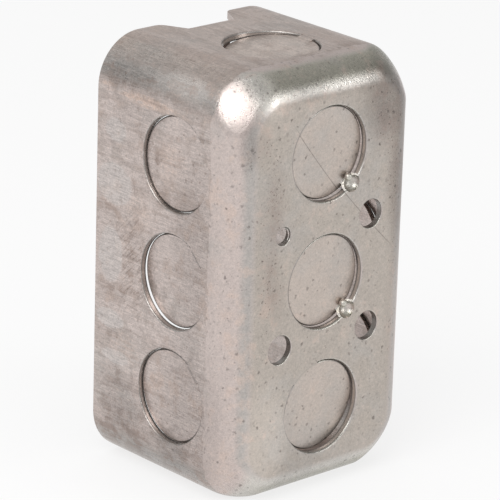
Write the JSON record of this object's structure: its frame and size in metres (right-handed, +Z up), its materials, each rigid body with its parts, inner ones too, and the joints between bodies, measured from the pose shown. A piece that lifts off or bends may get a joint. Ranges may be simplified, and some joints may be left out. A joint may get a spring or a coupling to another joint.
{
  "type": "handy box",
  "caption": "Drawn one-piece galvanised steel handy box, open at the front, with rounded edges, struck knockouts and bent-in device ears.",
  "frame": {"origin": "under the middle of the box, on the surface that it stands on, with the box on one end", "axes": "+Z up along the box's length, +Y out of the closed back, -Y out of the open front, +X across the width"},
  "size_m": [0.0558, 0.0476, 0.1016],
  "materials": {
    "galvanised_steel": "warm grey zinc-coated steel, satin, with fine draw marks, stains and dark specks"
  },
  "bodies": {
    "root": {"handy_box": "galvanised_steel"}
  },
  "joints": []
}
